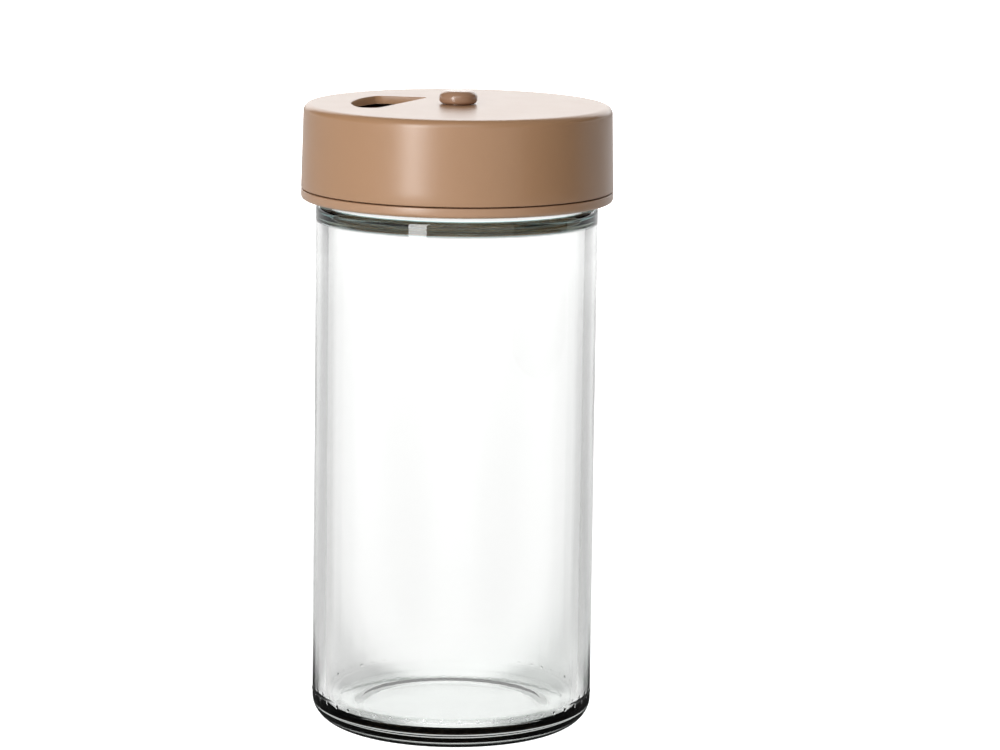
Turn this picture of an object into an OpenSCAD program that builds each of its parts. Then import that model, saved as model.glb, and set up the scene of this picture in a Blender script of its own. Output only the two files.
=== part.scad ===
// Spice jar: a glass jar, a screw cap with a pouring hole and a row of sprinkle holes,
// a seal under the cap, and a dial that turns over the cap on a centre knob.
// Millimetres, +Z up. The origin is the middle of the base, on the table.
// As drawn, the lid is screwed down and the dial's window is over the pouring hole.

/* [Glass jar] */
// Height of the glass rim above the table
jar_h = 89.1; // [60:0.1:130]
// Outside diameter of the body
body_d = 41.6; // [39.6:0.1:42.4]
// Thickness of the side wall
side_wall = 1.9; // [1.4:0.1:2.4]
// Thickness of the glass floor over the hollow underside
floor_t = 3.1; // [1.6:0.1:5]
// Height of the hollow under the base
push_up = 0.4; // [0.3:0.1:1.8]
// Height at which the side starts to turn under into the base
heel_h = 4.2; // [2.4:0.1:5]
// Width of that turn
heel_w = 5.5; // [2.4:0.1:7]
// Inner radius where the side meets the floor
inner_heel_r = 1.9; // [1:0.1:4]
// Width of the flat ring that the jar stands on
bearing_w = 0.8; // [0.6:0.1:2.5]
// Width of the rounded step inside the standing ring
step_w = 2.4; // [0.6:0.1:3]
// Outer radius of the shoulder under the cap
shoulder_r = 1.2; // [0.6:0.1:1.8]
// Height over which the inside widens from the neck to the body
inner_shoulder_h = 4.1; // [2.5:0.1:6]
// Height above the outer shoulder at which that widening starts
inner_shoulder_rise = 1; // [0.5:0.1:2]

/* [Neck and thread] */
// Outside diameter of the neck between its threads
neck_d = 35.6; // [34:0.1:36]
// Height of the neck above the shoulder
neck_h = 10.5; // [10:0.1:13]
// Thickness of the neck's wall
neck_wall = 2; // [1.5:0.1:2.6]
// Radius of the rounded edges of the rim
rim_r = 0.7; // [0.3:0.05:0.9]
// Radius in the corner between shoulder and neck
neck_root_r = 0.5; // [0.2:0.05:0.6]
// Rise of the thread in one turn
thread_pitch = 4.2; // [3.6:0.1:4.8]
// Turns of thread on the neck and in the cap
thread_turns = 1.1; // [0.8:0.05:1.2]
// How far a thread stands out from its wall
thread_h = 1.1; // [0.7:0.05:1.4]
// Width of a thread at its wall
thread_w = 1.9; // [1.4:0.05:2.1]
// Width of a thread at its crest
thread_crest = 0.9; // [0.5:0.05:1.2]
// Height of the middle of the neck thread's lower end above the shoulder
thread_start_h = 3.6; // [3.2:0.1:4]
// Gap between a crest and the wall it faces
thread_gap = 0.4; // [0.3:0.05:0.6]
// Gap between the flanks of the two threads when the lid is screwed down
thread_play = 0.3; // [0.2:0.05:0.5]

/* [Screw cap] */
// Thickness of the cap's skirt
skirt_wall = 1.7; // [1.2:0.1:2.4]
// Gap between the glass shoulder and the cap
shoulder_gap = 0.4; // [0.3:0.1:0.8]
// Height of the rim that shows below the dial
flange_h = 1.45; // [0.8:0.05:2.4]
// Radius of the flange's lower outer edge
flange_edge_r = 0.5; // [0.2:0.05:0.7]
// Thickness of the deck that the dial turns over
deck_t = 1.25; // [1:0.05:2.2]
// How far the pouring hole's straight sides lie outside those of the window
pour_margin = 0.5; // [0:0.1:0.8]
// Turn of the dial from pouring to sprinkling, and from there to closed
dial_step = 120; // [110:1:122]
// Diameter of each sprinkle hole
sprinkle_d = 2; // [1:0.1:2.4]
// Distance of the outer row of sprinkle holes from the window's outer edge
sprinkle_outer_inset = 2.4; // [2:0.1:2.8]
// Distance of the inner row of sprinkle holes from the window's outer edge
sprinkle_inner_inset = 5.5; // [5.2:0.1:5.8]
// Diameter of the boss under the deck that holds the knob's shank
boss_d = 7; // [5.6:0.1:9]
// Height of that boss under the deck
boss_h = 2.6; // [1.5:0.1:4]

/* [Seal] */
// Thickness of the sealing ring
seal_t = 0.8; // [0.6:0.05:2]
// Gap between the sealing ring and the rim, and between the ring and the deck
seal_gap = 0.03; // [0.02:0.01:0.1]
// Gap between the sealing ring's outer edge and the cap
seal_edge_gap = 0.15; // [0.1:0.05:0.4]

/* [Dial] */
// Thickness of the dial's side at its lower edge
dial_wall = 1.7; // [1.4:0.1:2.6]
// How much narrower the dial's radius is at the top than at its lower edge
dial_draft = 0.28; // [0:0.02:0.4]
// Thickness of the dial's top
dial_top_t = 1.2; // [0.9:0.05:2.2]
// Radius of the dial's top edge
dial_edge_r = 1.15; // [0.4:0.05:1.3]
// Radius of the corner inside the dial
dial_inner_r = 0.2; // [0.1:0.05:0.3]
// Gap between the dial's side and the cap's skirt
dial_side_gap = 0.3; // [0.2:0.05:0.6]
// Gap between the dial's top and the cap's deck
dial_deck_gap = 0.6; // [0.3:0.05:0.8]
// Open seam between the dial's lower edge and the cap's flange
seam = 0.2; // [0.15:0.05:0.5]

/* [Window] */
// Distance of the window's outer edge inside the jar's mouth
window_inset = 0.1; // [0:0.1:1]
// Distance of the window's long straight side from the middle
window_long_side = 7.75; // [7.3:0.05:8.2]
// Direction that the long side faces, seen from above
window_long_dir = 155; // [150:1:160]
// Distance of the window's short straight side from the middle
window_short_side = 7.5; // [7:0.05:8]
// Direction that the short side faces
window_short_dir = 79; // [76:1:84]
// Corner radius at the window's point
window_tip_r = 0.5; // [0.2:0.1:0.9]
// Corner radius between the short side and the outer edge
window_back_r = 1.4; // [0.5:0.1:2]
// Corner radius between the long side and the outer edge
window_front_r = 1.9; // [0.8:0.1:2.4]

/* [Knob] */
// Diameter of the knob's head
knob_d = 5.6; // [5:0.1:7]
// Height of the knob's top above the dial
knob_h = 2; // [1.8:0.1:3]
// Radius of the head's top edge
knob_top_r = 1.1; // [0.3:0.05:1.15]
// Radius of the head's lower edge
knob_low_r = 0.55; // [0.1:0.05:0.55]
// Gap between the knob's head and the dial
knob_gap = 0.1; // [0.05:0.05:0.3]
// Diameter of the knob's shank
shank_d = 3.8; // [3:0.1:4]
// Gap round the shank in the dial, where it turns
shank_turn_gap = 0.08; // [0.04:0.02:0.1]
// Gap round the shank in the cap, where it is held
shank_hold_gap = 0.04; // [0.02:0.01:0.08]
// How far the shank's snap catch stands out
catch_out = 0.4; // [0.2:0.05:0.6]
// Length of the snap catch
catch_h = 1.6; // [1:0.1:2.4]
// Width of the slot that lets the catch spring in
slot_w = 0.8; // [0.4:0.1:1.2]
// Length of that slot above the catch
slot_rise = 2.4; // [1:0.1:2.6]

/* [Hidden] */
$fn = 96;

ARC_STEPS = 8;          // steps in a quarter circle of an outline
TURN_STEPS = 36;        // steps in one turn of a thread
SPLIT = 0.5;            // how deep a thread is set into its wall
FADE_TURN = 0.08;       // share of a turn over which a thread runs out
PAST = 1;               // how far a cutter passes the face that it cuts
SPRINKLE_OUTER = [146, 13.5, 5];  // first direction, step and number of holes
SPRINKLE_INNER = [136, 17, 3];

// Radii, from the mouth outwards
neck_r = neck_d / 2;
mouth_r = neck_r - neck_wall;
body_r = body_d / 2;
inside_r = body_r - side_wall;
bore_r = neck_r + thread_h + thread_gap;
skirt_r = bore_r + skirt_wall;
dial_in_r = skirt_r + dial_side_gap;
lid_r = dial_in_r + dial_wall;
window_r = mouth_r - window_inset;
shank_r = shank_d / 2;
boss_bore_r = shank_r + shank_hold_gap;

// Heights, from the table up
floor_z = push_up + floor_t;
shoulder_z = jar_h - neck_h;
inner_shoulder_top_z = shoulder_z + inner_shoulder_rise;
cap_z = shoulder_z + shoulder_gap;
flange_z = cap_z + flange_h;
dial_z = flange_z + seam;
seal_z = jar_h + seal_gap;
deck_z = seal_z + seal_t + seal_gap;
deck_top_z = deck_z + deck_t;
dial_under_z = deck_top_z + dial_deck_gap;
dial_top_z = dial_under_z + dial_top_t;
boss_z = deck_z - boss_h;
knob_under_z = dial_top_z + knob_gap;
knob_top_z = dial_top_z + knob_h;
catch_z = boss_z - knob_gap;

// Threads: the neck's, and the cap's below it by the width of both and their play
neck_thread_z = shoulder_z + thread_start_h;
flank_slope = (thread_w - thread_crest) / thread_h;
thread_drop = thread_w - flank_slope * (thread_h + thread_gap) / 2 + thread_play;
cap_thread_z = neck_thread_z - thread_drop;

function at(c, r, a) = [c[0] + r * cos(a), c[1] + r * sin(a)];

function arc(c, r, from, to, steps = ARC_STEPS) =
    [for (i = [0:steps]) at(c, r, from + (to - from) * i / steps)];

// The window: a long side and a short side that meet in a point, and an edge that runs
// round the dial. Each corner is an arc that touches its two edges.
function across(dir) = [-sin(dir), cos(dir)];
function along(dir) = [cos(dir), sin(dir)];
function side_corner(d, dir, r) = d * along(dir) + sqrt(pow(r, 2) - pow(d, 2)) * across(dir);

function window_outline(edge_r, margin) =
    let (
        long_d = window_long_side - margin,
        short_d = window_short_side + margin,
        tip_d = [long_d + window_tip_r, short_d - window_tip_r],
        turn = window_long_dir - window_short_dir,
        tip_c = tip_d[1] * along(window_short_dir)
            + (tip_d[0] - tip_d[1] * cos(turn)) / sin(turn) * across(window_short_dir),
        back_c = side_corner(short_d - window_back_r, window_short_dir, edge_r - window_back_r),
        front_c = side_corner(long_d + window_front_r, window_long_dir, edge_r - window_front_r),
        back_a = atan2(back_c[1], back_c[0]),
        front_a = atan2(front_c[1], front_c[0]) + 360
    )
    concat(
        arc(tip_c, window_tip_r, window_long_dir - 180, window_short_dir),
        arc(back_c, window_back_r, window_short_dir, back_a),
        arc([0, 0], edge_r, back_a, front_a, 3 * ARC_STEPS),
        arc(front_c, window_front_r, front_a, window_long_dir + 180)
    );

// Radius and height of points down the inside of the shoulder, a half wave
function inner_shoulder(steps) = [for (i = [0:steps])
    let (share = i / steps, wave = (1 - cos(180 * share)) / 2)
    [mouth_r + (inside_r - mouth_r) * wave, inner_shoulder_top_z - inner_shoulder_h * share]];

bearing_out_r = body_r - heel_w;
bearing_in_r = bearing_out_r - bearing_w;
panel_r = bearing_in_r - step_w;

jar_outline = concat(
    [[0, push_up]],
    [for (a = [90:-90 / ARC_STEPS:0])
        [panel_r + step_w * (1 - sin(a)), push_up * (1 - pow(1 - sin(a), 2))]],
    [for (p = arc([0, 0], 1, -90, 0)) [bearing_out_r + heel_w * p[0], heel_h + heel_h * p[1]]],
    arc([body_r - shoulder_r, shoulder_z - shoulder_r], shoulder_r, 0, 90),
    arc([neck_r + neck_root_r, shoulder_z + neck_root_r], neck_root_r, 270, 180, 4),
    arc([neck_r - rim_r, jar_h - rim_r], rim_r, 0, 90, 6),
    arc([mouth_r + rim_r, jar_h - rim_r], rim_r, 90, 180, 6),
    inner_shoulder(12),
    arc([inside_r - inner_heel_r, floor_z + inner_heel_r], inner_heel_r, 0, -90),
    [[0, floor_z]]
);

// One turn or so of a four-sided ridge that climbs to the left and runs out at both ends.
// wall_r is the wall it stands on; side is 1 outside a wall and -1 inside a bore.
module thread(wall_r, z, side) {
    steps = round(TURN_STEPS * thread_turns);
    fade = FADE_TURN * TURN_STEPS;
    root_r = wall_r - side * SPLIT;
    rings = [for (i = [0:steps])
        let (
            a = 360 * thread_turns * i / steps,
            mid = z + thread_pitch * thread_turns * i / steps,
            full = min(1, i / fade, (steps - i) / fade),
            crest_r = wall_r + side * (thread_h * full - SPLIT / 4 * (1 - full)),
            w = thread_w / 2,
            c = thread_crest / 2
        )
        [for (p = [[root_r, -w], [crest_r, -c], [crest_r, c], [root_r, w]])
            [p[0] * cos(a), p[0] * sin(a), mid + p[1]]]];
    points = [for (ring = rings) each ring];
    sides = [for (i = [0:steps - 1], k = [0:3])
        let (a = 4 * i + k, b = 4 * i + (k + 1) % 4)
        each [[a, a + 4, b], [b, a + 4, b + 4]]];
    last = 4 * steps;
    faces = concat(
        sides,
        [[0, 1, 2], [0, 2, 3], [last, last + 2, last + 1], [last, last + 3, last + 2]]
    );
    polyhedron(points, side < 0 ? faces : [for (f = faces) [f[2], f[1], f[0]]]);
}

module revolve(outline) {
    rotate_extrude() polygon(outline);
}

module window_cut(z, t, edge_r, margin) {
    translate([0, 0, z - PAST]) linear_extrude(t + 2 * PAST) polygon(window_outline(edge_r, margin));
}

module sprinkle_row(inset, row) {
    for (i = [0:row[2] - 1])
        rotate(dial_step + row[0] + row[1] * i)
            translate([window_r - inset, 0, deck_z - PAST])
                cylinder(d = sprinkle_d, h = deck_t + 2 * PAST);
}

module glass_jar() {
    color([0.86, 0.92, 0.9, 0.35]) {
        revolve(jar_outline);
        thread(neck_r, neck_thread_z, 1);
    }
}

module sealing_ring() {
    color([0.93, 0.92, 0.88])
        difference() {
            translate([0, 0, seal_z]) cylinder(r = bore_r - seal_edge_gap, h = seal_t);
            translate([0, 0, seal_z - PAST]) cylinder(r = mouth_r, h = seal_t + 2 * PAST);
        }
}

module screw_cap() {
    color([0.69, 0.55, 0.44])
        difference() {
            union() {
                revolve(concat(
                    [[bore_r, cap_z]],
                    arc([lid_r - flange_edge_r, cap_z + flange_edge_r], flange_edge_r, -90, 0, 4),
                    [
                        [lid_r, flange_z],
                        [skirt_r, flange_z],
                        [skirt_r, deck_top_z],
                        [0, deck_top_z],
                        [0, deck_z],
                        [bore_r, deck_z]
                    ]
                ));
                translate([0, 0, boss_z]) cylinder(d = boss_d, h = boss_h + deck_t / 2);
                thread(bore_r, cap_thread_z, -1);
            }
            translate([0, 0, boss_z - PAST])
                cylinder(r = boss_bore_r, h = boss_h + deck_t + 2 * PAST);
            window_cut(deck_z, deck_t, mouth_r, pour_margin);
            sprinkle_row(sprinkle_outer_inset, SPRINKLE_OUTER);
            sprinkle_row(sprinkle_inner_inset, SPRINKLE_INNER);
        }
}

module dial_cover() {
    color([0.69, 0.55, 0.44])
        difference() {
            revolve(concat(
                [[dial_in_r, dial_z], [lid_r, dial_z]],
                arc([lid_r - dial_draft - dial_edge_r, dial_top_z - dial_edge_r], dial_edge_r, 0, 90),
                [[0, dial_top_z], [0, dial_under_z]],
                arc([dial_in_r - dial_inner_r, dial_under_z - dial_inner_r], dial_inner_r, 90, 0, 4)
            ));
            window_cut(dial_under_z, dial_top_t, window_r, 0);
            translate([0, 0, dial_under_z - PAST])
                cylinder(r = shank_r + shank_turn_gap, h = dial_top_t + 2 * PAST);
        }
}

module pivot_knob() {
    head_r = knob_d / 2;
    catch_r = shank_r + catch_out;
    foot_z = catch_z - catch_h;
    color([0.66, 0.52, 0.41])
        difference() {
            revolve(concat(
                [[0, foot_z], [shank_r - catch_out / 2, foot_z], [catch_r, catch_z - catch_out]],
                [[catch_r, catch_z], [shank_r, catch_z], [shank_r, knob_under_z]],
                arc([head_r - knob_low_r, knob_under_z + knob_low_r], knob_low_r, -90, 0, 4),
                arc([head_r - knob_top_r, knob_top_z - knob_top_r], knob_top_r, 0, 90),
                [[0, knob_top_z]]
            ));
            translate([-slot_w / 2, -knob_d, foot_z - PAST])
                cube([slot_w, 2 * knob_d, catch_h + slot_rise + PAST]);
        }
}

glass_jar();
sealing_ring();
screw_cap();
dial_cover();
pivot_knob();
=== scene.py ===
"""A clear glass spice jar with a mocha plastic lid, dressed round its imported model.

The jar is one shell of soda glass with a threaded neck, a rounded heel and a ring of small grip dots. The lid is
a screw cap under a turning dial, held by a button-headed rivet, with a seal between the cap's deck and the rim.
Each piece is a class that holds its sizes in metres, works its surfaces out with numpy and dresses them.
"""

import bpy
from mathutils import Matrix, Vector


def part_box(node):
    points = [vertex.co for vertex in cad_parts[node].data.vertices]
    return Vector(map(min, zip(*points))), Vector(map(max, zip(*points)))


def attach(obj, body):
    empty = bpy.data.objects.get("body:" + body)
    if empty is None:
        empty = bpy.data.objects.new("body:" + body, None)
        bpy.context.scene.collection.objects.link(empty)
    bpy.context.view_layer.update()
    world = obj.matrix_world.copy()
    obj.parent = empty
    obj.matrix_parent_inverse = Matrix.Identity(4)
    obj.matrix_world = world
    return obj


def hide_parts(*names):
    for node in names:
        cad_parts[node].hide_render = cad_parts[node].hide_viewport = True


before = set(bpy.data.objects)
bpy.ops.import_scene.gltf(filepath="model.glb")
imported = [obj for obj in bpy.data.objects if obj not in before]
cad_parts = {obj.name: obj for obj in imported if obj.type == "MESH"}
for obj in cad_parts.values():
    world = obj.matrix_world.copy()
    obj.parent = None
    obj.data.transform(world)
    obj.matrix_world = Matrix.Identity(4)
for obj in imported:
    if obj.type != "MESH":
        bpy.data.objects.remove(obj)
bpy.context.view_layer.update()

import logging
import math
from dataclasses import dataclass, field
from enum import Enum
from typing import Any, Iterable

import bmesh
import bpy
import numpy as np
from mathutils import Matrix

LOG = logging.getLogger("spice_jar")
MM = 0.001

JAR_FOOT, JAR_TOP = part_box("glass_jar")
SEAL_FOOT, SEAL_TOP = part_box("sealing_ring")
CAP_FOOT, CAP_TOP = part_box("screw_cap")
DIAL_FOOT, DIAL_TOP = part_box("dial_cover")
KNOB_FOOT, KNOB_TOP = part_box("pivot_knob")

ROUND = 256
NECK_RADIUS = 17.8 * MM
MOUTH_RADIUS = 15.8 * MM
NECK_HEIGHT = 10.5 * MM
SHOULDER_Z = JAR_TOP.z - NECK_HEIGHT
THREAD_GAP = 0.4 * MM
THREAD_HEIGHT = 1.1 * MM
CAP_BORE_RADIUS = NECK_RADIUS + THREAD_HEIGHT + THREAD_GAP
SHANK_RADIUS = 1.9 * MM


# Shapes as arrays

def arc(centre: tuple[float, float], radius: float, start: float, end: float, steps: int) -> np.ndarray:
    """Points on a circle, from one angle to another, in equal steps.

    Args:
        centre: the circle's middle.
        radius: its radius.
        start: first angle in degrees, anticlockwise from the first axis.
        end: last angle in degrees.
        steps: number of steps between them.

    Returns:
        An array of steps + 1 rows of two numbers.
    """
    turn = np.radians(np.linspace(start, end, steps + 1))
    return np.stack([centre[0] + radius * np.cos(turn), centre[1] + radius * np.sin(turn)], axis=1)


def line(start: tuple[float, float], end: tuple[float, float], steps: int) -> np.ndarray:
    """Points on a straight stretch, ends included, in equal steps."""
    share = np.linspace(0.0, 1.0, steps + 1)[:, None]
    return np.array(start) * (1 - share) + np.array(end) * share


def chain(*stretches: Iterable) -> np.ndarray:
    """One profile from several stretches, with a point that repeats the one before it left out.

    Args:
        stretches: arrays or lists of (radius, height) points.

    Returns:
        An array of (radius, height) rows.
    """
    points = np.concatenate([np.asarray(stretch, float).reshape(-1, 2) for stretch in stretches])
    step = np.linalg.norm(np.diff(points, axis=0), axis=1)
    return points[np.concatenate([[True], step > 1e-3 * MM])]


def circle_angles(count: int = ROUND) -> np.ndarray:
    """Angles in radians of evenly spaced points round a circle, with the start not repeated."""
    return np.arange(count) * 2 * math.pi / count


def revolve(profile: np.ndarray, angles: np.ndarray) -> np.ndarray:
    """Surface of revolution: x = r cos a, y = r sin a, z = z, for each profile point and angle.

    Args:
        profile: (radius, height) rows.
        angles: angles in radians.

    Returns:
        A grid of points, one row to a profile point and one column to an angle.
    """
    radius, height = profile[:, :1], profile[:, 1:]
    return np.stack(
        [radius * np.cos(angles), radius * np.sin(angles), np.broadcast_to(height, (len(profile), len(angles)))],
        axis=2,
    )


def edge_normals(outline: np.ndarray) -> np.ndarray:
    """Unit normals that point out of a closed outline drawn anticlockwise: the tangent turned a quarter clockwise."""
    tangent = np.roll(outline, -1, axis=0) - np.roll(outline, 1, axis=0)
    tangent /= np.linalg.norm(tangent, axis=1)[:, None]
    return np.stack([tangent[:, 1], -tangent[:, 0]], axis=1)


def sweep_hole(outline: np.ndarray, profile: np.ndarray) -> np.ndarray:
    """Wall of a hole: each profile point is an outline pushed out along its normals, at one height.

    Args:
        outline: closed anticlockwise outline of the hole.
        profile: rows of (distance outside the outline, height).

    Returns:
        A grid of points, one row to a profile point.
    """
    away, height = profile[:, 0][:, None, None], profile[:, 1][:, None]
    flat = outline[None] + edge_normals(outline)[None] * away
    return np.concatenate([flat, np.broadcast_to(height, flat.shape[:2])[..., None]], axis=2)


def hole_profile(low: float, high: float, edge: float, lip: float) -> np.ndarray:
    """Section of a hole's wall through a plate, with both edges rounded and a narrow lip on each face.

    Args:
        low: height of the plate's underside.
        high: height of its top.
        edge: radius of the rounded edges.
        lip: width of the lip, which keeps the flat face's shading flat.

    Returns:
        Rows of (distance outside the hole, height), from the top down.
    """
    return chain(
        [(edge + lip, high)],
        arc((edge, high - edge), edge, 90, 180, 5),
        arc((edge, low + edge), edge, 180, 270, 5),
        [(edge + lip, low)],
    )


def smooth_step(value: np.ndarray) -> np.ndarray:
    """The cubic 3t^2 - 2t^3 of a value held between 0 and 1."""
    held = np.clip(value, 0.0, 1.0)
    return held * held * (3 - 2 * held)


@dataclass(frozen=True)
class Thread:
    """A helical ridge on a round wall: how far it stands out at each angle and height."""

    start: float
    pitch: float = 4.2 * MM
    turns: float = 1.1
    height: float = THREAD_HEIGHT
    width: float = 1.9 * MM
    crest: float = 0.9 * MM
    fade: float = 0.08

    def rise(self, angles: np.ndarray, heights: np.ndarray) -> np.ndarray:
        """Height of the ridge over its wall.

        Its middle climbs one pitch a turn. Across, it is full within half the crest's width of the middle and
        falls to nothing at half the width, by a smooth step; along, it fades in and out over a share of a turn.

        Args:
            angles: angles in radians, one to a column.
            heights: heights in metres, one to a row.

        Returns:
            A grid of distances in metres.
        """
        share = (angles / (2 * math.pi))[None, :]
        best = np.zeros((len(heights), len(angles)))
        for lap in range(math.ceil(self.turns)):
            along = share + lap
            off = np.abs(heights[:, None] - self.start - self.pitch * along)
            across = smooth_step((self.width / 2 - off) / (self.width / 2 - self.crest / 2))
            fade = np.clip(np.minimum(along, self.turns - along) / self.fade, 0.0, 1.0)
            best = np.maximum(best, self.height * across * fade)
        return best


class Shell:
    """Patches of one closed surface, welded into a mesh with its flat faces filled."""

    def __init__(self) -> None:
        """Starts an empty shell."""
        self.points: list[np.ndarray] = []
        self.quads: list[np.ndarray] = []
        self.count = 0

    def add(self, grid: np.ndarray, close_rows: bool = False) -> None:
        """Adds a grid of points whose columns go all the way round.

        Args:
            grid: points as (rows, columns, 3).
            close_rows: True where the last row also meets the first.
        """
        rows, columns = grid.shape[:2]
        index = np.arange(rows * columns).reshape(rows, columns) + self.count
        following = np.roll(index, -1, axis=1)
        if close_rows:
            upper, upper_next = np.roll(index, -1, axis=0), np.roll(following, -1, axis=0)
            quads = np.stack([index, following, upper_next, upper], axis=2)
        else:
            quads = np.stack([index[:-1], following[:-1], following[1:], index[1:]], axis=2)
        self.points.append(grid.reshape(-1, 3))
        self.quads.append(quads.reshape(-1, 4))
        self.count += rows * columns

    def build(self, name: str) -> bpy.types.Object:
        """Makes the mesh: welds the poles, fills each level ring of open edges and turns the faces outwards.

        Args:
            name: the piece's name.

        Returns:
            The new object, in the scene and with smooth shading.
        """
        mesh = bpy.data.meshes.new(name)
        mesh.from_pydata(np.concatenate(self.points).tolist(), [], np.concatenate(self.quads).tolist())
        work = bmesh.new()
        work.from_mesh(mesh)
        bmesh.ops.remove_doubles(work, verts=work.verts, dist=1e-4 * MM)
        open_edges = [edge for edge in work.edges if edge.is_boundary]
        levels: dict[float, list] = {}
        for edge in open_edges:
            levels.setdefault(round(edge.verts[0].co.z / MM, 3), []).append(edge)
        for edges in levels.values():
            bmesh.ops.triangle_fill(work, use_beauty=True, use_dissolve=False, edges=edges)
        bmesh.ops.recalc_face_normals(work, faces=work.faces)
        for face in work.faces:
            face.smooth = True
        work.to_mesh(mesh)
        work.free()
        piece = bpy.data.objects.new(name, mesh)
        bpy.context.scene.collection.objects.link(piece)
        return piece


# Shader maths

class Wire:
    """A shader socket whose arithmetic adds Math nodes."""

    def __init__(self, tree: "Tree", socket: bpy.types.NodeSocket) -> None:
        """Wraps an output socket of a tree."""
        self.tree = tree
        self.socket = socket

    def _math(self, operation: str, *values: Any) -> "Wire":
        """Adds one Math node that takes these values in order."""
        return self.tree.add("ShaderNodeMath", {"operation": operation}, dict(enumerate(values)))

    def __add__(self, other: Any) -> "Wire":
        """Sum."""
        return self._math("ADD", self, other)

    __radd__ = __add__

    def __sub__(self, other: Any) -> "Wire":
        """Difference."""
        return self._math("SUBTRACT", self, other)

    def __rsub__(self, other: Any) -> "Wire":
        """Difference with this wire taken off."""
        return self._math("SUBTRACT", other, self)

    def __mul__(self, other: Any) -> "Wire":
        """Product."""
        return self._math("MULTIPLY", self, other)

    __rmul__ = __mul__

    def at_most(self, other: Any) -> "Wire":
        """The lesser of two."""
        return self._math("MINIMUM", self, other)

    def at_least(self, other: Any) -> "Wire":
        """The greater of two."""
        return self._math("MAXIMUM", self, other)

    def between(self, low: float, high: float) -> "Wire":
        """0 below low, 1 above high and a smooth step between them."""
        return self.tree.add(
            "ShaderNodeMapRange",
            {"interpolation_type": "SMOOTHSTEP"},
            {"Value": self, "From Min": low, "From Max": high},
        )


class Tree:
    """The node tree of a material or the world, filled from Python."""

    def __init__(self, owner: Any) -> None:
        """Empties the owner's node tree and wraps it."""
        owner.use_nodes = True
        self.tree = owner.node_tree
        self.tree.nodes.clear()

    def add(self, kind: str, settings: dict | None = None, sockets: dict | None = None, out: Any = 0) -> Wire:
        """Adds a node.

        Args:
            kind: the node's type.
            settings: properties, which are set first; "stops" fills a ramp with (position, colour) pairs.
            sockets: values or wires by input name or number.
            out: name or number of the output that comes back.

        Returns:
            The wire from that output.
        """
        node = self.tree.nodes.new(kind)
        for key, value in (settings or {}).items():
            if key == "stops":
                self._fill_ramp(node.color_ramp, value)
            else:
                setattr(node, key, value)
        for key, value in (sockets or {}).items():
            if isinstance(value, Wire):
                self.tree.links.new(value.socket, node.inputs[key])
            else:
                node.inputs[key].default_value = value
        return Wire(self, node.outputs[out]) if node.outputs else None

    @staticmethod
    def _fill_ramp(ramp: bpy.types.ColorRamp, stops: list) -> None:
        """Sets a colour ramp's stops."""
        while len(ramp.elements) < len(stops):
            ramp.elements.new(1.0)
        for element, (position, colour) in zip(ramp.elements, stops):
            element.position = position
            element.color = colour

    def noise(self, place: Wire, size: float, detail: float = 2.0) -> Wire:
        """A noise between 0 and 1 whose patches are about the given size in metres."""
        return self.add(
            "ShaderNodeTexNoise", {}, {"Vector": place, "Scale": 1 / size, "Detail": detail, "Roughness": 0.5}
        )


def srgb(red: int, green: int, blue: int) -> tuple[float, float, float, float]:
    """A colour given as it is seen, in steps of 255, as linear light."""
    parts = [value / 255 for value in (red, green, blue)]
    linear = [part / 12.92 if part <= 0.04045 else ((part + 0.055) / 1.055) ** 2.4 for part in parts]
    return (*linear, 1.0)


# Finishes

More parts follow.
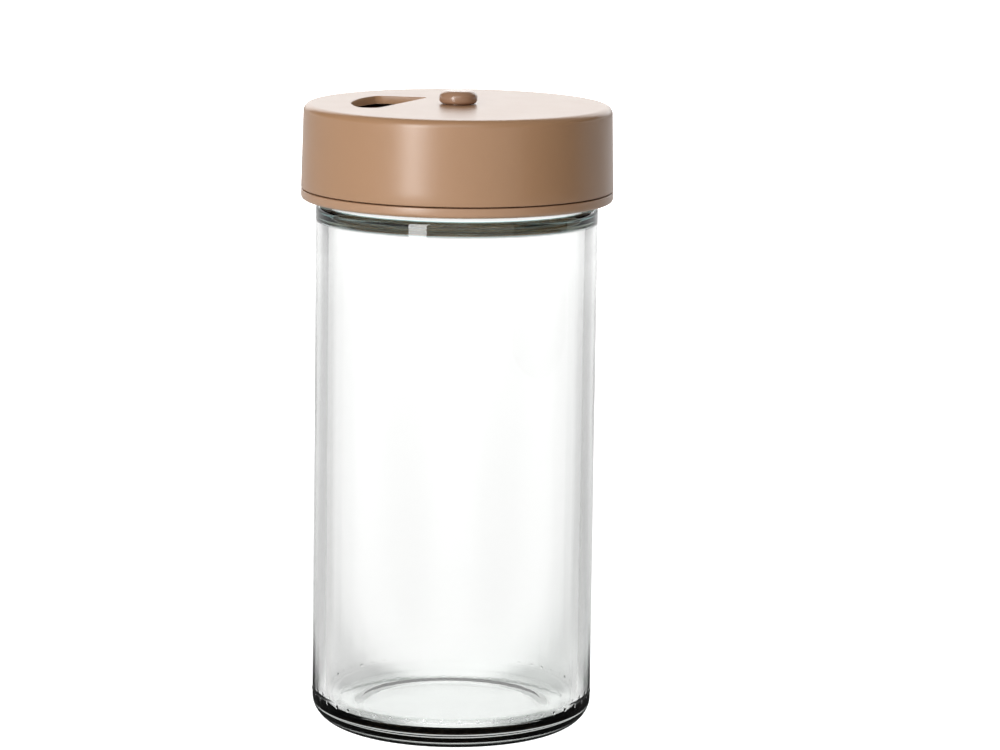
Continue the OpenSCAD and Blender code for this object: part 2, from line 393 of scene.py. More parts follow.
@dataclass(frozen=True)
class ClearGlass:
    """Pressed soda glass: clear, faintly green, with the slow ripple that a mould leaves."""

    name: str = "clear_glass"
    tint: tuple = (0.989, 0.991, 0.988, 1.0)
    # Painted shade: a strong cyan-green tint on the glass in a band just under the shoulder, standing for the dark
    # inside of the cap seen through it, beyond the green that the glass's thickness gives there.
    painted_shade_tint: tuple = (0.52, 0.9, 0.88, 1.0)
    painted_shade_from: tuple = (SHOULDER_Z - 2.5 * MM, SHOULDER_Z - 2.15 * MM)
    painted_shade_to: tuple = (SHOULDER_Z - 0.45 * MM, SHOULDER_Z - 0.2 * MM)
    painted_shade_outside: tuple = (19.0 * MM, 19.4 * MM)
    bend: float = 1.52
    ripple_size: float = 9 * MM
    ripple_height: float = 0.02 * MM
    depth: float = 55.0
    depth_colour: tuple = (0.80, 0.815, 0.805, 1.0)

    def make(self) -> bpy.types.Material:
        """Builds the material. Lamps reach through it, so that what it holds and stands on stays bright."""
        material = bpy.data.materials.new(self.name)
        tree = Tree(material)
        place = tree.add("ShaderNodeTexCoord", out="Object")
        drawn = tree.add("ShaderNodeMapping", {}, {"Vector": place, "Scale": (1.0, 1.0, 0.35)})
        ripple = tree.noise(drawn, self.ripple_size, 1.0)
        bump = tree.add("ShaderNodeBump", {}, {"Strength": 1.0, "Distance": self.ripple_height, "Height": ripple})
        haze = tree.noise(place, 3 * MM) * 0.012
        across, along, height = (tree.add("ShaderNodeSeparateXYZ", {}, {0: place}, out=axis) for axis in range(3))
        # Painted shade: the band near the outer wall just under the shoulder, where the glass takes the cyan-green
        # painted shade tint.
        outside = (across * across + along * along).between(*(radius**2 for radius in self.painted_shade_outside))
        painted_shade = outside * height.between(*self.painted_shade_from) * (1 - height.between(*self.painted_shade_to))
        tint = tree.add("ShaderNodeMix", {"data_type": "RGBA"}, {0: painted_shade, 6: self.tint, 7: self.painted_shade_tint}, out=2)
        glass = tree.add(
            "ShaderNodeBsdfPrincipled",
            {},
            {
                "Base Color": tint,
                "Roughness": haze,
                "IOR": self.bend,
                "Transmission Weight": 1.0,
                "Normal": bump,
            },
        )
        clear = tree.add("ShaderNodeBsdfTransparent", {}, {"Color": (0.91, 0.93, 0.92, 1.0)})
        to_lamp = tree.add("ShaderNodeLightPath", out="Is Shadow Ray")
        both = tree.add("ShaderNodeMixShader", {}, {0: to_lamp, 1: glass, 2: clear})
        depth = tree.add("ShaderNodeVolumeAbsorption", {}, {"Color": self.depth_colour, "Density": self.depth})
        tree.add("ShaderNodeOutputMaterial", {}, {"Surface": both, "Volume": depth})
        return material


@dataclass(frozen=True)
class SatinPlastic:
    """Moulded polypropylene: an even colour with faint flow marks, under a fine satin grain."""

    name: str
    colour: tuple
    deep: tuple
    roughness: float = 0.315
    shine: float = 0.75
    grain_size: float = 0.12 * MM
    grain_height: float = 0.004 * MM

    def make(self) -> bpy.types.Material:
        """Builds the material: slow noise mixes two near tones, fine noise roughens and bumps the skin."""
        material = bpy.data.materials.new(self.name)
        tree = Tree(material)
        place = tree.add("ShaderNodeTexCoord", out="Object")
        flow = tree.noise(place, 25 * MM, 1.0)
        grain = tree.noise(place, self.grain_size, 2.0)
        tone = tree.add(
            "ShaderNodeMix",
            {"data_type": "RGBA"},
            {0: flow, 6: self.colour, 7: self.deep},
            out=2,
        )
        soft = tree.noise(place, 4 * MM, 2.0)
        bump = tree.add("ShaderNodeBump", {}, {"Strength": 1.0, "Distance": self.grain_height, "Height": grain})
        skin = tree.add(
            "ShaderNodeBsdfPrincipled",
            {},
            {
                "Base Color": tone,
                "Roughness": soft * 0.06 + (self.roughness - 0.03),
                "Specular IOR Level": self.shine,
                "Normal": bump,
            },
        )
        tree.add("ShaderNodeOutputMaterial", {}, {"Surface": skin})
        return material


@dataclass(frozen=True)
class SealRubber:
    """Soft translucent-white silicone with a dusty bloom."""

    name: str = "seal_silicone"
    colour: tuple = (0.72, 0.71, 0.67, 1.0)
    bloom: tuple = (0.8, 0.79, 0.76, 1.0)

    def make(self) -> bpy.types.Material:
        """Builds the material: fine noise mixes the bloom in and bumps the surface."""
        material = bpy.data.materials.new(self.name)
        tree = Tree(material)
        place = tree.add("ShaderNodeTexCoord", out="Object")
        dust = tree.noise(place, 1.5 * MM, 4.0)
        tone = tree.add("ShaderNodeMix", {"data_type": "RGBA"}, {0: dust, 6: self.colour, 7: self.bloom}, out=2)
        bump = tree.add("ShaderNodeBump", {}, {"Strength": 1.0, "Distance": 0.01 * MM, "Height": dust})
        skin = tree.add(
            "ShaderNodeBsdfPrincipled", {}, {"Base Color": tone, "Roughness": 0.62, "Normal": bump}
        )
        tree.add("ShaderNodeOutputMaterial", {}, {"Surface": skin})
        return material


class Slot(Enum):
    """The record's material slots, each with the finish of its pieces."""

    GLASS = "glass"
    SEAL = "seal"
    CAP = "lid_plastic"
    DIAL = "dial_plastic"
    KNOB = "knob_plastic"


FINISHES = {
    Slot.GLASS: ClearGlass(),
    Slot.SEAL: SealRubber(),
    Slot.CAP: SatinPlastic("mocha_cap", srgb(182, 143, 112), srgb(177, 138, 107)),
    Slot.DIAL: SatinPlastic("mocha_dial", srgb(177, 137, 103), srgb(173, 132, 98)),
    Slot.KNOB: SatinPlastic("mocha_knob", srgb(170, 133, 107), srgb(164, 127, 101), roughness=0.23),
}


def dress(piece: bpy.types.Object, slot: Slot, node: str, body: str) -> bpy.types.Object:
    """Gives a finished piece its material, lets it stand for its node and ride on its body, and reports it.

    Args:
        piece: the piece, in place.
        slot: the material slot that it takes its finish from.
        node: the node that it stands for.
        body: the body that it rides on.

    Returns:
        The same piece.
    """
    piece.data.materials.append(FINISHES[slot].make())
    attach(piece, body)
    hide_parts(node)
    LOG.info("%s: %d faces, on %s", piece.name, len(piece.data.polygons), body)
    return piece


# The jar

@dataclass
class GlassJar:
    """The glass jar, one closed shell from the hollow under its base, up the outside and down the inside."""

    body_radius: float = JAR_TOP.x
    height: float = JAR_TOP.z
    side_wall: float = 1.9 * MM
    floor_thickness: float = 3.1 * MM
    push_up: float = 0.4 * MM
    heel_height: float = 4.2 * MM
    heel_width: float = 5.5 * MM
    inner_heel: float = 1.9 * MM
    bearing_width: float = 0.8 * MM
    step_width: float = 2.4 * MM
    shoulder: float = 1.2 * MM
    neck_root: float = 0.5 * MM
    rim: float = 0.7 * MM
    inner_shoulder: float = 4.1 * MM
    inner_shoulder_top: float = 1 * MM
    thread_start: float = 3.6 * MM
    dot_count: int = 50
    dot_z: float = 4.9 * MM
    dot_radius: float = 0.34 * MM
    dot_height: float = 0.1 * MM
    name: str = "glass_jar_shell"

    def columns(self) -> np.ndarray:
        """Angles of the grid's columns: eight close ones across each dot and two between dots."""
        reach = 1.15 * self.dot_radius / self.body_radius
        pitch = 2 * math.pi / self.dot_count
        near = np.linspace(-reach, reach, 8)
        far = np.linspace(reach, pitch - reach, 4)[1:-1]
        return (np.arange(self.dot_count)[:, None] * pitch + np.concatenate([near, far])[None]).ravel()

    def profile(self) -> np.ndarray:
        """Section of the glass, from the axis under the base round to the axis on the floor."""
        bearing_out = self.body_radius - self.heel_width
        bearing_in = bearing_out - self.bearing_width
        panel = bearing_in - self.step_width
        inside = self.body_radius - self.side_wall
        heel = np.array([self.heel_width, self.heel_height])
        floor = self.push_up + self.floor_thickness
        rise = np.radians(np.linspace(90, 0, 9))
        step = np.stack(
            [panel + self.step_width * (1 - np.sin(rise)), self.push_up * (1 - (1 - np.sin(rise)) ** 2)], axis=1
        )
        dot_reach = 1.35 * self.dot_radius
        wave = np.linspace(0, 1, 17)
        flow = np.stack(
            [
                MOUTH_RADIUS + (inside - MOUTH_RADIUS) * (1 - np.cos(math.pi * wave)) / 2,
                SHOULDER_Z + self.inner_shoulder_top - self.inner_shoulder * wave,
            ],
            axis=1,
        )
        return chain(
            line((0, self.push_up), (panel - 0.2 * MM, self.push_up), 3),
            step,
            arc((0, 0), 1, -90, 0, 24) * heel + (bearing_out, self.heel_height),
            line((self.body_radius, self.dot_z - dot_reach), (self.body_radius, self.dot_z + dot_reach), 12),
            line((self.body_radius, self.dot_z + 2 * dot_reach), (self.body_radius, SHOULDER_Z - self.shoulder), 6),
            arc((self.body_radius - self.shoulder, SHOULDER_Z - self.shoulder), self.shoulder, 0, 90, 10),
            arc((NECK_RADIUS + self.neck_root, SHOULDER_Z + self.neck_root), self.neck_root, 270, 180, 5),
            line(
                (NECK_RADIUS, SHOULDER_Z + self.neck_root),
                (NECK_RADIUS, self.height - self.rim),
                56,
            ),
            arc((NECK_RADIUS - self.rim, self.height - self.rim), self.rim, 0, 90, 6),
            arc((MOUTH_RADIUS + self.rim, self.height - self.rim), self.rim, 90, 180, 6),
            line((MOUTH_RADIUS, self.height - self.rim), tuple(flow[0]), 4),
            flow,
            line(tuple(flow[-1]), (inside, floor + self.inner_heel), 6),
            arc((inside - self.inner_heel, floor + self.inner_heel), self.inner_heel, 0, -90, 12),
            line((inside - self.inner_heel - 0.2 * MM, floor), (0, floor), 3),
        )

    def build(self) -> bpy.types.Object:
        """Revolves the section, then pushes its outer wall out by the thread and the dots.

        Returns:
            The dressed shell.
        """
        angles = self.columns()
        profile = self.profile()
        grid = revolve(profile, angles)
        outside = np.arange(len(profile)) < int(np.argmax(profile[:, 1]))
        neck = outside & (profile[:, 1] > SHOULDER_Z + self.neck_root / 2)
        thread = Thread(SHOULDER_Z + self.thread_start)
        push = np.zeros(grid.shape[:2])
        push[neck] = thread.rise(angles, profile[neck, 1])
        foot = outside & (profile[:, 0] > self.body_radius - self.heel_width / 2)
        push[foot] += self.dots(angles, profile[foot, 1])
        grid[..., 0] += push * np.cos(angles)
        grid[..., 1] += push * np.sin(angles)
        shell = Shell()
        shell.add(grid)
        return dress(shell.build(self.name), Slot.GLASS, "glass_jar", "jar")

    def dots(self, angles: np.ndarray, heights: np.ndarray) -> np.ndarray:
        """Height of the grip dots: each is a dome h (1 - d^2 / r^2)^2 of the distance d from its middle.

        Args:
            angles: angles in radians, one to a column.
            heights: heights in metres, one to a row.

        Returns:
            A grid of distances in metres.
        """
        pitch = 2 * math.pi / self.dot_count
        across = ((angles + pitch / 2) % pitch - pitch / 2) * self.body_radius
        distance = across[None, :] ** 2 + (heights[:, None] - self.dot_z) ** 2
        return self.dot_height * np.clip(1 - distance / self.dot_radius**2, 0, 1) ** 2


@dataclass
class SealingRing:
    """The flat ring between the glass rim and the cap's deck."""

    low: float = SEAL_FOOT.z
    high: float = SEAL_TOP.z
    outer: float = SEAL_TOP.x
    inner: float = MOUTH_RADIUS
    edge: float = 0.2 * MM
    name: str = "seal_ring_soft"

    def build(self) -> bpy.types.Object:
        """Revolves a flat section with four rounded corners.

        Returns:
            The dressed ring.
        """
        corners = [
            ((self.outer - self.edge, self.low + self.edge), -90),
            ((self.outer - self.edge, self.high - self.edge), 0),
            ((self.inner + self.edge, self.high - self.edge), 90),
            ((self.inner + self.edge, self.low + self.edge), 180),
        ]
        profile = chain(*[arc(centre, self.edge, turn, turn + 90, 5) for centre, turn in corners])
        shell = Shell()
        shell.add(revolve(profile, circle_angles()), close_rows=True)
        return dress(shell.build(self.name), Slot.SEAL, "sealing_ring", "seal")


# The lid

@dataclass(frozen=True)
class Window:
    """Outline of the pouring window: two straight sides that meet in a point, and an edge round the dial."""

    long_side: float = 7.75 * MM
    long_dir: float = 155
    short_side: float = 7.5 * MM
    short_dir: float = 79
    tip: float = 0.5 * MM
    back: float = 1.4 * MM
    front: float = 1.9 * MM

    @staticmethod
    def _unit(direction: float) -> np.ndarray:
        """Unit vector at an angle in degrees."""
        return np.array([math.cos(math.radians(direction)), math.sin(math.radians(direction))])

    def _side_corner(self, distance: float, direction: float, radius: float) -> np.ndarray:
        """Middle of a corner arc that lies on a circle round the axis and on a line at a distance from it."""
        across = self._unit(direction + 90)
        return distance * self._unit(direction) + math.sqrt(radius**2 - distance**2) * across

    def outline(self, edge: float, margin: float) -> np.ndarray:
        """Closed anticlockwise outline, with each corner an arc that touches both of its edges.

        Args:
            edge: radius of the outer edge.
            margin: how far the straight sides lie outside the window's own.

        Returns:
            An array of (x, y) rows.
        """
        long_d, short_d = self.long_side - margin, self.short_side + margin
        turn = math.radians(self.long_dir - self.short_dir)
        tip_long, tip_short = long_d + self.tip, short_d - self.tip
        slide = (tip_long - tip_short * math.cos(turn)) / math.sin(turn)
        tip = tip_short * self._unit(self.short_dir) + slide * self._unit(self.short_dir + 90)
        back = self._side_corner(short_d - self.back, self.short_dir, edge - self.back)
        front = self._side_corner(long_d + self.front, self.long_dir, edge - self.front)
        back_turn = math.degrees(math.atan2(back[1], back[0]))
        front_turn = math.degrees(math.atan2(front[1], front[0])) + 360
        stretches = chain(
            arc(tuple(tip), self.tip, self.long_dir - 180, self.short_dir, 10),
            arc(tuple(back), self.back, self.short_dir, back_turn, 10),
            arc((0, 0), edge, back_turn, front_turn, 48),
            arc(tuple(front), self.front, front_turn, self.long_dir + 180, 12),
        )
        return self._even(stretches)

    @staticmethod
    def _even(outline: np.ndarray) -> np.ndarray:
        """Splits each long straight edge, so that no step along the outline is over half a millimetre."""
        following = np.roll(outline, -1, axis=0)
        parts = []
        for start, end in zip(outline, following):
            steps = max(1, math.ceil(np.linalg.norm(end - start) / (0.5 * MM)))
            parts.append(line(tuple(start), tuple(end), steps)[:-1])
        return np.concatenate(parts)


@dataclass
class ScrewCap:
    """The inner cap: a threaded skirt with a rim that shows below the dial, and a deck with the holes."""

    foot: float = CAP_FOOT.z
    top: float = CAP_TOP.z
    flange_radius: float = CAP_TOP.y
    flange_top: float = DIAL_FOOT.z - 0.2 * MM
    flange_edge: float = 0.5 * MM
    skirt_wall: float = 1.7 * MM
    deck: float = 1.25 * MM
    pour_margin: float = 0.5 * MM
    boss_radius: float = 3.5 * MM
    boss_height: float = 2.6 * MM
    hold_gap: float = 0.04 * MM
    thread_play: float = 0.3 * MM
    thread_start: float = 3.6 * MM
    sprinkle_radius: float = 1 * MM
    sprinkle_turn: float = 120
    sprinkle_rows: tuple = ((13.3 * MM, 146, 13.5, 5), (10.2 * MM, 136, 17, 3))
    edge: float = 0.12 * MM
    lip: float = 0.15 * MM
    name: str = "cap_threaded"

    def thread(self) -> Thread:
        """The cap's own thread, just under the neck's."""
        neck = Thread(SHOULDER_Z + self.thread_start)
        slope = (neck.width - neck.crest) / neck.height
        drop = neck.width - slope * (neck.height + THREAD_GAP) / 2 + self.thread_play
        return Thread(neck.start - drop)

    def skirt(self, shell: Shell) -> None:
        """Adds the skirt and rim: from the deck's underside down the threaded bore, round the rim and up."""
        skirt_radius = CAP_BORE_RADIUS + self.skirt_wall
        under = self.top - self.deck
        small = self.edge
        profile = chain(
            [(CAP_BORE_RADIUS - small - self.lip, under)],
            arc((CAP_BORE_RADIUS - small, under - small), small, 90, 0, 4),
            line((CAP_BORE_RADIUS, under - small), (CAP_BORE_RADIUS, self.foot + small), 64),
            arc((CAP_BORE_RADIUS + small, self.foot + small), small, 180, 270, 4),
            arc(
                (self.flange_radius - self.flange_edge, self.foot + self.flange_edge),
                self.flange_edge,
                -90,
                0,
                8,
            ),
            arc((self.flange_radius - small, self.flange_top - small), small, 0, 90, 4),
            arc((skirt_radius + small, self.flange_top + small), small, 270, 180, 4),
            arc((skirt_radius - 2 * small, self.top - 2 * small), 2 * small, 0, 90, 5),
            [(skirt_radius - 2 * small - self.lip, self.top)],
        )
        angles = circle_angles()
        grid = revolve(profile, angles)
        bore = np.abs(profile[:, 0] - CAP_BORE_RADIUS) < 1e-9
        push = self.thread().rise(angles, profile[bore, 1])
        grid[bore, :, 0] -= push * np.cos(angles)
        grid[bore, :, 1] -= push * np.sin(angles)
        shell.add(grid)

    def boss(self, shell: Shell) -> None:
        """Adds the boss under the deck, with the bore that holds the knob's shank."""
        bore = SHANK_RADIUS + self.hold_gap
        under, low = self.top - self.deck, self.top - self.deck - self.boss_height
        small, root = self.edge, 0.3 * MM
        profile = chain(
            [(self.boss_radius + root + self.lip, under)],
            arc((self.boss_radius + root, under - root), root, 90, 180, 5),
            arc((self.boss_radius - small, low + small), small, 0, -90, 4),
            arc((bore + small, low + small), small, 270, 180, 4),
            arc((bore + small, self.top - small), small, 180, 90, 4),
            [(bore + small + self.lip, self.top)],
        )
        shell.add(revolve(profile, circle_angles(96)))

    def holes(self, shell: Shell) -> None:
        """Adds the walls of the pouring hole and of the sprinkle holes."""
        section = hole_profile(self.top - self.deck, self.top, self.edge, self.lip)
        shell.add(sweep_hole(Window().outline(MOUTH_RADIUS, self.pour_margin), section))
        for distance, first, step, count in self.sprinkle_rows:
            for index in range(count):
                turn = math.radians(self.sprinkle_turn + first + step * index)
                middle = (distance * math.cos(turn), distance * math.sin(turn))
                outline = arc(middle, self.sprinkle_radius, 0, 360, 32)[:-1]
                shell.add(sweep_hole(outline, section))

    def build(self) -> bpy.types.Object:
        """Puts the skirt, boss and holes together.

        Returns:
            The dressed cap.
        """
        shell = Shell()
        self.skirt(shell)
        self.boss(shell)
        self.holes(shell)
        return dress(shell.build(self.name), Slot.CAP, "screw_cap", "cap")


@dataclass
class DialCover:
    """The outer cover, which turns over the cap and has the window in its top."""

    foot: float = DIAL_FOOT.z
    top: float = DIAL_TOP.z
    radius: float = DIAL_TOP.y
    draft: float = 0.28 * MM
    wall: float = 1.7 * MM
    plate: float = 1.2 * MM
    top_edge: float = 1.15 * MM
    inner_corner: float = 0.2 * MM
    turn_gap: float = 0.08 * MM
    window_inset: float = 0.1 * MM
    edge: float = 0.12 * MM
    lip: float = 0.15 * MM
    name: str = "dial_cover_shell"

    def skirt(self, shell: Shell) -> None:
        """Adds the side: from the top face over its rounded edge, down the drafted side and up the inside."""
        inside = self.radius - self.wall
        under = self.top - self.plate
        edge_middle = (self.radius - self.draft - self.top_edge, self.top - self.top_edge)
        corner = (inside - self.inner_corner, under - self.inner_corner)
        small = self.edge
        profile = chain(
            [(edge_middle[0] - self.lip, self.top)],
            arc(edge_middle, self.top_edge, 90, 0, 14),
            line((self.radius - self.draft, edge_middle[1]), (self.radius, self.foot + small), 6),
            arc((self.radius - small, self.foot + small), small, 0, -90, 4),
            arc((inside + small, self.foot + small), small, 270, 180, 4),
            arc(corner, self.inner_corner, 0, 90, 5),
            [(corner[0] - self.lip, under)],
        )
        shell.add(revolve(profile, circle_angles()))

    def build(self) -> bpy.types.Object:
        """Puts the side, the window's wall and the shank's bore together.

        Returns:
            The dressed dial.
        """
        shell = Shell()
        self.skirt(shell)
        section = hole_profile(self.top - self.plate, self.top, self.edge, self.lip)
        shell.add(sweep_hole(Window().outline(MOUTH_RADIUS - self.window_inset, 0.0), section))
        bore = arc((0, 0), SHANK_RADIUS + self.turn_gap, 0, 360, 96)[:-1]
        shell.add(sweep_hole(bore, section))
        return dress(shell.build(self.name), Slot.DIAL, "dial_cover", "dial")


@dataclass
class PivotKnob:
    """The rivet: a button head over the dial, a shank that the dial turns on and a split snap catch."""

    foot: float = KNOB_FOOT.z
    top: float = KNOB_TOP.z
    head_radius: float = KNOB_TOP.x
    under: float = DIAL_TOP.z + 0.1 * MM
    top_edge: float = 1.1 * MM
    low_edge: float = 0.55 * MM
    catch_out: float = 0.4 * MM
    catch_height: float = 1.6 * MM
    slot_width: float = 0.8 * MM
    slot_height: float = 4 * MM
    dish: float = 0.06 * MM
    name: str = "pivot_knob_head"

    def profile(self) -> np.ndarray:
        """Section from the shank's foot up the catch and shank, round the head and in to the axis."""
        catch = self.foot + self.catch_height
        catch_radius = SHANK_RADIUS + self.catch_out
        flat = self.head_radius - self.top_edge
        rings = np.linspace(flat, 0, 7)
        return chain(
            [(0, self.foot), (SHANK_RADIUS - self.catch_out / 2 - 0.1 * MM, self.foot)],
            [(SHANK_RADIUS - self.catch_out / 2, self.foot + 0.1 * MM)],
            line(
                (SHANK_RADIUS - self.catch_out / 2, self.foot + 0.1 * MM),
                (catch_radius, catch - self.catch_out),
                2,
            ),
            [(catch_radius, catch - 0.05 * MM), (catch_radius - 0.05 * MM, catch), (SHANK_RADIUS, catch)],
            line((SHANK_RADIUS, catch + 0.05 * MM), (SHANK_RADIUS, self.under), 4),
            arc((self.head_radius - self.low_edge, self.under + self.low_edge), self.low_edge, -90, 0, 8),
            arc((flat, self.top - self.top_edge), self.top_edge, 0, 90, 12),
            np.stack([rings, self.top - self.dish * (1 - (rings / flat) ** 2) ** 2], axis=1),
        )

    def build(self) -> bpy.types.Object:
        """Revolves the section and cuts the slot across the shank's foot.

        Returns:
            The dressed knob.
        """
        shell = Shell()
        shell.add(revolve(self.profile(), circle_angles(160)))
        knob = shell.build(self.name)
        cutter_mesh = bpy.data.meshes.new("slot_cutter")
        work = bmesh.new()
        size = (self.slot_width, 4 * SHANK_RADIUS, 2 * self.slot_height, 1)
        bmesh.ops.create_cube(work, size=1, matrix=Matrix.Translation((0, 0, self.foot)) @ Matrix.Diagonal(size))
        work.to_mesh(cutter_mesh)
        work.free()
        cutter = bpy.data.objects.new("slot_cutter", cutter_mesh)
        bpy.context.scene.collection.objects.link(cutter)
        cut = knob.modifiers.new("slot", "BOOLEAN")
        cut.operation, cut.object, cut.solver = "DIFFERENCE", cutter, "EXACT"
        evaluated = knob.evaluated_get(bpy.context.evaluated_depsgraph_get())
        knob.data = bpy.data.meshes.new_from_object(evaluated)
        knob.modifiers.clear()
        bpy.data.objects.remove(cutter)
        knob.data.set_sharp_from_angle(angle=math.radians(35))
        return dress(knob, Slot.KNOB, "pivot_knob", "cap")


# The studio

@dataclass(frozen=True)
class Softbox:
    """A soft rectangular lamp, placed by its direction from the object."""

    name: str
    azimuth: float
    elevation: float
    distance: float
    width: float
    height: float
    watts: float
    tone: tuple = (1.0, 1.0, 1.0)
    through_glass: bool = True

    def build(self, target: np.ndarray) -> bpy.types.Object:
        """Adds the lamp, turned to the target.

        Args:
            target: the point that it faces.

        Returns:
            The lamp's object.
        """
        around, up = math.radians(self.azimuth), math.radians(self.elevation)
        away = np.array([math.sin(around) * math.cos(up), -math.cos(around) * math.cos(up), math.sin(up)])
        light = bpy.data.lights.new(self.name, "AREA")
        light.shape, light.size, light.size_y = "RECTANGLE", self.width, self.height
        light.energy, light.color = self.watts, self.tone
        lamp = bpy.data.objects.new(self.name, light)
        bpy.context.scene.collection.objects.link(lamp)
        turned = Vector(away).to_track_quat("Z", "Y").to_matrix().to_4x4()
        lamp.visible_transmission = self.through_glass
        lamp.matrix_world = Matrix.Translation(target + away * self.distance) @ turned
        return lamp


@dataclass(frozen=True)
class Card:
    """A black card that stands beside the object, out of the camera's sight, and darkens the glass's edges."""

    name: str
    azimuth: float
    distance: float
    width: float
    height: float

    def build(self) -> None:
        """Stands the card on the floor, square to its direction from the object."""
        around = math.radians(self.azimuth)
        middle = np.array([math.sin(around), -math.cos(around)]) * self.distance
        side = np.array([math.cos(around), math.sin(around)]) * self.width / 2
        low, high = middle - side, middle + side
        mesh = bpy.data.meshes.new(self.name)
        corners = [(*low, 0.0), (*high, 0.0), (*high, self.height), (*low, self.height)]
        mesh.from_pydata(corners, [], [(0, 1, 2, 3)])
        card = bpy.data.objects.new(self.name, mesh)
        bpy.context.scene.collection.objects.link(card)
        card.visible_camera = False
        card.visible_transmission = False
        material = bpy.data.materials.new(self.name)
        tree = Tree(material)
        matt = tree.add("ShaderNodeBsdfDiffuse", {}, {"Color": (0.02, 0.02, 0.02, 1)})
        tree.add("ShaderNodeOutputMaterial", {}, {"Surface": matt})
        mesh.materials.append(material)


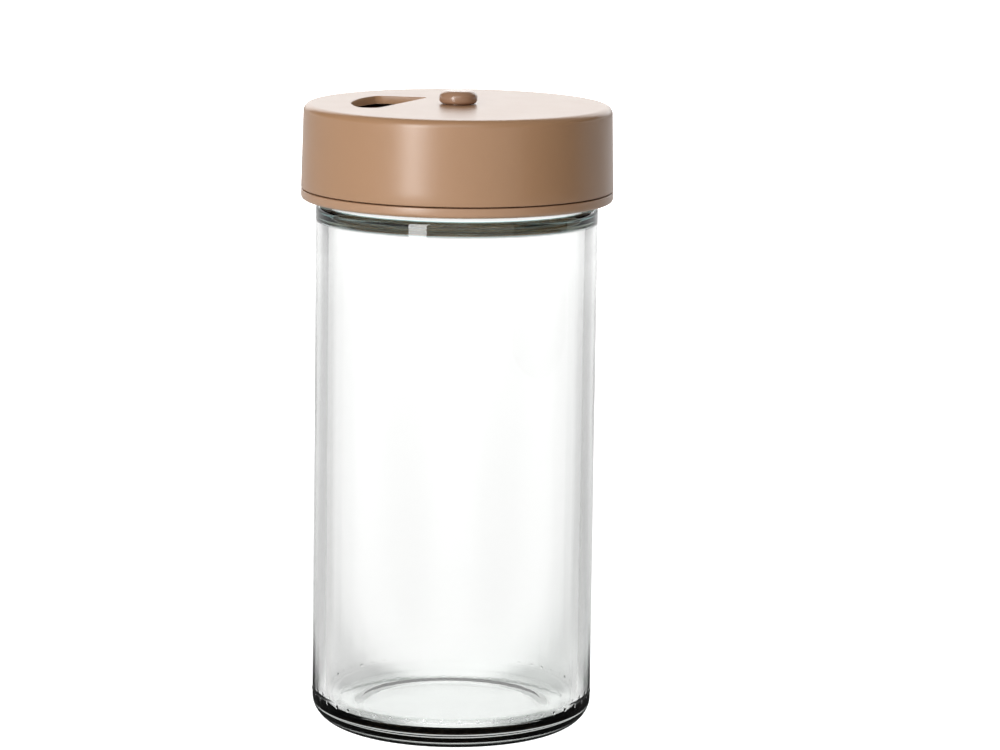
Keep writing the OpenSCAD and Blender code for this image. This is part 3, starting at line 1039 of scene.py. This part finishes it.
@dataclass
class Studio:
    """Camera, lamps, floor and surroundings."""

    camera_place: tuple = (0.0000428, -0.65, 0.16224)
    yaw: float = 0.0102
    pitch: float = 0.1669
    roll: float = 0.0139
    lens: float = 160.02
    sensor: float = 36.0
    floor_half: float = 6.0
    floor_drop: float = 0.02 * MM
    floor_glow: float = 0.45
    camera_glow: float = 0.22
    far_glow: float = 0.6
    far: tuple = (0.13, 0.22)
    # Painted light: reach of a glowing disc of floor under the jar, seen only through the glass, which lifts the
    # jar's own shadow there.
    painted_pool_reach: tuple = (13 * MM, 16 * MM)
    ambient: float = 0.36
    cards: tuple = (
        Card("right_flag", 72, 0.34, 0.34, 0.4),
    )
    boxes: tuple = (
        Softbox("key_box", -32, 16, 0.9, 0.24, 0.62, 4.75, through_glass=False),
        Softbox("top_back_box", 175, 26, 1.1, 1.4, 0.7, 7.0, through_glass=False),
        Softbox("fill_box", -5, 35, 1.4, 0.8, 0.8, 3, through_glass=False),
    )

    def camera(self) -> None:
        """Adds the camera at the fitted place and turn."""
        cos_pitch = math.cos(self.pitch)
        forward = np.array([math.sin(self.yaw) * cos_pitch, math.cos(self.yaw) * cos_pitch, -math.sin(self.pitch)])
        side = np.array([math.cos(self.yaw), -math.sin(self.yaw), 0.0])
        above = np.cross(side, forward)
        right = math.cos(self.roll) * side + math.sin(self.roll) * above
        up = math.cos(self.roll) * above - math.sin(self.roll) * side
        data = bpy.data.cameras.new("camera")
        data.lens, data.sensor_width = self.lens, self.sensor
        data.clip_start, data.clip_end = 0.01, 100
        camera = bpy.data.objects.new("camera", data)
        bpy.context.scene.collection.objects.link(camera)
        turned = Matrix(np.stack([right, up, -forward], axis=1).tolist()).to_4x4()
        camera.matrix_world = Matrix.Translation(self.camera_place) @ turned
        bpy.context.scene.camera = camera

    @staticmethod
    def _shown(tree: Tree) -> Wire:
        """1 for rays that show a picture: from the camera, off gloss or through glass."""
        kinds = [
            tree.add("ShaderNodeLightPath", out=name)
            for name in ("Is Camera Ray", "Is Glossy Ray", "Is Transmission Ray")
        ]
        return kinds[0].at_least(kinds[1]).at_least(kinds[2])

    def surroundings(self) -> None:
        """Sets the world: white where it is seen, a plain soft level where it lights."""
        world = bpy.data.worlds.new("surroundings")
        bpy.context.scene.world = world
        tree = Tree(world)
        shown = self._shown(tree)
        way = tree.add("ShaderNodeSeparateXYZ", {}, {0: tree.add("ShaderNodeTexCoord", out="Generated")}, out=2)
        camera = tree.add("ShaderNodeLightPath", out="Is Camera Ray")
        through = tree.add("ShaderNodeLightPath", out="Is Transmission Ray")
        low = 0.1 - through * 0.07
        dark = ((way - low) * 20.0).between(0.0, 1.0)
        strip = through * way.between(0.17, 0.19) * (1 - way.between(0.34, 0.37))
        sky = (1 - dark).at_least(strip).at_least(camera)
        seen = tree.add("ShaderNodeBackground", {}, {"Color": (1, 1, 1, 1), "Strength": sky})
        lit = tree.add("ShaderNodeBackground", {}, {"Color": (1, 1, 1, 1), "Strength": self.ambient})
        both = tree.add("ShaderNodeMixShader", {}, {0: shown, 1: lit, 2: seen})
        tree.add("ShaderNodeOutputWorld", {}, {"Surface": both})

    def floor(self) -> None:
        """Adds the pale floor, lifted to white where it is seen, with the object's shadow kept."""
        half, drop = self.floor_half, -self.floor_drop
        mesh = bpy.data.meshes.new("floor")
        corners = [(-half, -half, drop), (half, -half, drop), (half, half, drop), (-half, half, drop)]
        mesh.from_pydata(corners, [], [(0, 1, 2, 3)])
        floor = bpy.data.objects.new("floor", mesh)
        bpy.context.scene.collection.objects.link(floor)
        material = bpy.data.materials.new("floor_paper")
        tree = Tree(material)
        matt = tree.add("ShaderNodeBsdfDiffuse", {}, {"Color": (0.82, 0.82, 0.82, 1)})
        camera = tree.add("ShaderNodeLightPath", out="Is Camera Ray")
        place = tree.add("ShaderNodeTexCoord", out="Object")
        ahead = tree.add("ShaderNodeVectorMath", {"operation": "NORMALIZE"}, {0: place})
        reach = tree.add("ShaderNodeVectorMath", {"operation": "LENGTH"}, {0: place}, out=1)
        # Painted light: the floor under the jar glows where it is seen through the glass, standing for light that the
        # glass would bring through to it.
        under = 1 - reach.between(*self.painted_pool_reach)
        gloss = tree.add("ShaderNodeLightPath", out="Is Glossy Ray")
        through = tree.add("ShaderNodeLightPath", out="Is Transmission Ray")
        spill = tree.add("ShaderNodeLightPath", out="Is Diffuse Ray")
        # Painted shadow: in gloss off the glass, the floor within a few centimetres of the jar turns black, standing
        # for a contact shadow round the jar. For light bounced off the floor, the floor is a quarter black, so that
        # it lights the object less.
        black = tree.add("ShaderNodeBsdfDiffuse", {}, {"Color": (0.05, 0.05, 0.05, 1)})
        paper = tree.add("ShaderNodeMixShader", {}, {0: (gloss * (1 - through) * (1 - reach.between(0.03, 0.07))).at_least(spill * 0.25), 1: matt, 2: black})
        across, along = (tree.add("ShaderNodeSeparateXYZ", {}, {0: ahead}, out=axis) for axis in (0, 1))
        behind = (across * across).at_least(along * along).between(0.72, 0.98)
        bare = camera * (self.camera_glow + reach.between(*self.far) * self.far_glow)
        lift = (through * behind.at_least(under)).at_least(camera) * self.floor_glow + bare
        glow = tree.add("ShaderNodeEmission", {}, {"Color": (1, 1, 1, 1), "Strength": lift})
        both = tree.add("ShaderNodeAddShader", {}, {0: paper, 1: glow})
        tree.add("ShaderNodeOutputMaterial", {}, {"Surface": both})
        mesh.materials.append(material)

    def build(self) -> None:
        """Sets the studio up round the object."""
        bpy.context.scene.view_settings.view_transform = "Standard"
        target = np.array([0, 0, JAR_TOP.z / 2])
        self.camera()
        self.surroundings()
        self.floor()
        for box in self.boxes:
            box.build(target)
        for card in self.cards:
            card.build()


def main() -> None:
    """Builds the pieces from the glass outwards, then the studio."""
    logging.basicConfig(level=logging.INFO, format="%(name)s: %(message)s")
    for part in (GlassJar(), SealingRing(), ScrewCap(), DialCover(), PivotKnob()):
        part.build()
    Studio().build()
    bpy.context.view_layer.update()


if __name__ == "__main__":
    main()
